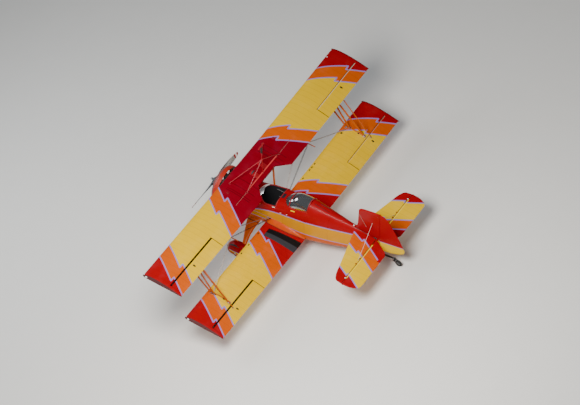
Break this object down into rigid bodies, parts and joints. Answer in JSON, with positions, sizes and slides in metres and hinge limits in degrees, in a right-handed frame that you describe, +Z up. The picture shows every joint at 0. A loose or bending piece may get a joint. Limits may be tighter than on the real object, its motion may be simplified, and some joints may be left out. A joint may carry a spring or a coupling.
{
  "type": "aerobatic biplane",
  "caption": "Aerobatic biplane with an open round engine, spatted tail-dragger gear, an open front cockpit, a closed rear one, and a stand for a rider on the upper wing.",
  "frame": {"origin": "on the floor under the middle of the bounding box, as the aircraft is parked on its three wheels", "axes": "+X to the aircraft's left, along the wings; +Y to the tail; +Z up"},
  "size_m": [10.9528, 7.3358, 4.1842],
  "materials": {
    "paint_red": "gloss",
    "paint_yellow": "gloss",
    "paint_orange": "gloss",
    "engine_metal": "satin",
    "exhaust_steel": "satin",
    "propeller_metal": "satin",
    "rigging_steel": "satin",
    "tyre_rubber": "matte",
    "gear_black": "satin",
    "clear_glazing": "gloss",
    "seat_leather": "satin",
    "panel_black": "matte"
  },
  "bodies": {
    "airframe": {"fuselage_front": "paint_red", "fuselage_rear": "paint_red", "engine_cowl": "paint_red", "engine": "engine_metal", "exhaust_pipe": "exhaust_steel", "wing_upper_center": "paint_red", "wing_upper_left": "paint_yellow", "wing_lower_left": "paint_yellow", "wing_upper_right": "paint_yellow", "wing_lower_right": "paint_yellow", "interplane_front_left": "paint_orange", "interplane_front_right": "paint_orange", "interplane_diagonal_left": "paint_orange", "interplane_diagonal_right": "paint_orange", "interplane_rear_left": "paint_orange", "interplane_rear_right": "paint_orange", "cabane_front_left": "paint_orange", "cabane_front_right": "paint_orange", "cabane_rear_left": "paint_orange", "cabane_rear_right": "paint_orange", "flying_wire_left": "rigging_steel", "flying_wire_right": "rigging_steel", "landing_wire_left": "rigging_steel", "landing_wire_right": "rigging_steel", "gear_leg_left": "paint_orange", "gear_leg_right": "paint_orange", "wheel_pant_left": "paint_red", "wheel_pant_right": "paint_red", "tail_spring": "gear_black", "fin": "paint_red", "stabilizer_left": "paint_yellow", "stabilizer_right": "paint_yellow", "tail_strut_left": "paint_orange", "tail_strut_right": "paint_orange", "windscreen_pilot": "clear_glazing", "windscreen_front": "clear_glazing", "pilot_seat": "seat_leather", "instrument_panel": "panel_black", "rider_rack": "paint_red"},
    "propeller": {"propeller_hub": "propeller_metal", "propeller_blade_1": "propeller_metal", "propeller_blade_2": "propeller_metal"},
    "left_wheel": {"wheel_left": "tyre_rubber"},
    "right_wheel": {"wheel_right": "tyre_rubber"},
    "tail_wheel_fork": {"tail_fork": "gear_black"},
    "tail_wheel_body": {"tail_wheel": "tyre_rubber"},
    "upper_left_aileron": {"aileron_upper_left": "paint_yellow"},
    "lower_left_aileron": {"aileron_lower_left": "paint_yellow"},
    "upper_right_aileron": {"aileron_upper_right": "paint_yellow"},
    "lower_right_aileron": {"aileron_lower_right": "paint_yellow"},
    "left_pushrod": {"aileron_pushrod_left": "paint_orange"},
    "right_pushrod": {"aileron_pushrod_right": "paint_orange"},
    "elevator_body": {"elevator": "paint_yellow"},
    "rudder_body": {"rudder": "paint_red"},
    "canopy": {"canopy_frame": "paint_red", "canopy_glass": "clear_glazing"}
  },
  "joints": [
    {"name": "propeller_spin", "type": "hinge", "parent": "airframe", "child": "propeller", "pos_m": [0, -3.50795, 2.00052], "axis": [0, 0.952, -0.3061], "continuous": true},
    {"name": "wheel_left_spin", "type": "hinge", "parent": "airframe", "child": "left_wheel", "pos_m": [1.22, -2.33094, 0.31961], "axis": [1, 0, 0], "continuous": true},
    {"name": "wheel_right_spin", "type": "hinge", "parent": "airframe", "child": "right_wheel", "pos_m": [-1.22, -2.33094, 0.31961], "axis": [1, 0, 0], "continuous": true},
    {"name": "tail_wheel_steer", "type": "hinge", "parent": "airframe", "child": "tail_wheel_fork", "pos_m": [0, 3.1184, 0.27984], "axis": [0, 0, 1], "range_deg": [-35, 35]},
    {"name": "tail_wheel_spin", "type": "hinge", "parent": "tail_wheel_fork", "child": "tail_wheel_body", "pos_m": [0, 3.22693, 0.12731], "axis": [1, 0, 0], "continuous": true},
    {"name": "aileron_upper_left_hinge", "type": "hinge", "parent": "airframe", "child": "upper_left_aileron", "pos_m": [4.23484, -1.0867, 2.9042], "axis": [0.9997, 0.008, 0.0249], "range_deg": [-25, 25]},
    {"name": "aileron_lower_left_hinge", "type": "hinge", "parent": "airframe", "child": "lower_left_aileron", "pos_m": [3.96494, -0.33586, 1.00204], "axis": [0.9997, 0.008, 0.0249], "range_deg": [-25, 25]},
    {"name": "aileron_upper_right_hinge", "type": "hinge", "parent": "airframe", "child": "upper_right_aileron", "pos_m": [-4.23484, -1.0867, 2.9042], "axis": [0.9997, -0.008, -0.0249], "range_deg": [-25, 25]},
    {"name": "aileron_lower_right_hinge", "type": "hinge", "parent": "airframe", "child": "lower_right_aileron", "pos_m": [-3.96494, -0.33586, 1.00204], "axis": [0.9997, -0.008, -0.0249], "range_deg": [-25, 25]},
    {"name": "aileron_pushrod_left_pin", "type": "hinge", "parent": "lower_left_aileron", "child": "left_pushrod", "pos_m": [4.08798, -0.25854, 1.05759], "axis": [0.9997, 0.008, 0.0249], "range_deg": [-28, 28]},
    {"name": "aileron_pushrod_right_pin", "type": "hinge", "parent": "lower_right_aileron", "child": "right_pushrod", "pos_m": [-4.08798, -0.25854, 1.05759], "axis": [0.9997, -0.008, -0.0249], "range_deg": [-28, 28]},
    {"name": "elevator_hinge", "type": "hinge", "parent": "airframe", "child": "elevator_body", "pos_m": [0, 2.73067, 1.0505], "axis": [1, 0, 0], "range_deg": [-25, 25]},
    {"name": "rudder_hinge", "type": "hinge", "parent": "airframe", "child": "rudder_body", "pos_m": [0, 2.94354, 1.40223], "axis": [0, 0.3061, 0.952], "range_deg": [-30, 30]},
    {"name": "canopy_hinge", "type": "hinge", "parent": "airframe", "child": "canopy", "pos_m": [-0.334, 0.04273, 1.86424], "axis": [0, -0.9906, 0.1369], "range_deg": [0, 85]}
  ],
  "couplings": [
    {"joint": "aileron_lower_left_hinge", "follows": "aileron_upper_left_hinge", "ratio": 1},
    {"joint": "aileron_upper_right_hinge", "follows": "aileron_upper_left_hinge", "ratio": -1},
    {"joint": "aileron_lower_right_hinge", "follows": "aileron_upper_left_hinge", "ratio": -1},
    {"joint": "aileron_pushrod_left_pin", "follows": "aileron_upper_left_hinge", "ratio": -1.115},
    {"joint": "aileron_pushrod_right_pin", "follows": "aileron_upper_left_hinge", "ratio": 1.115}
  ]
}
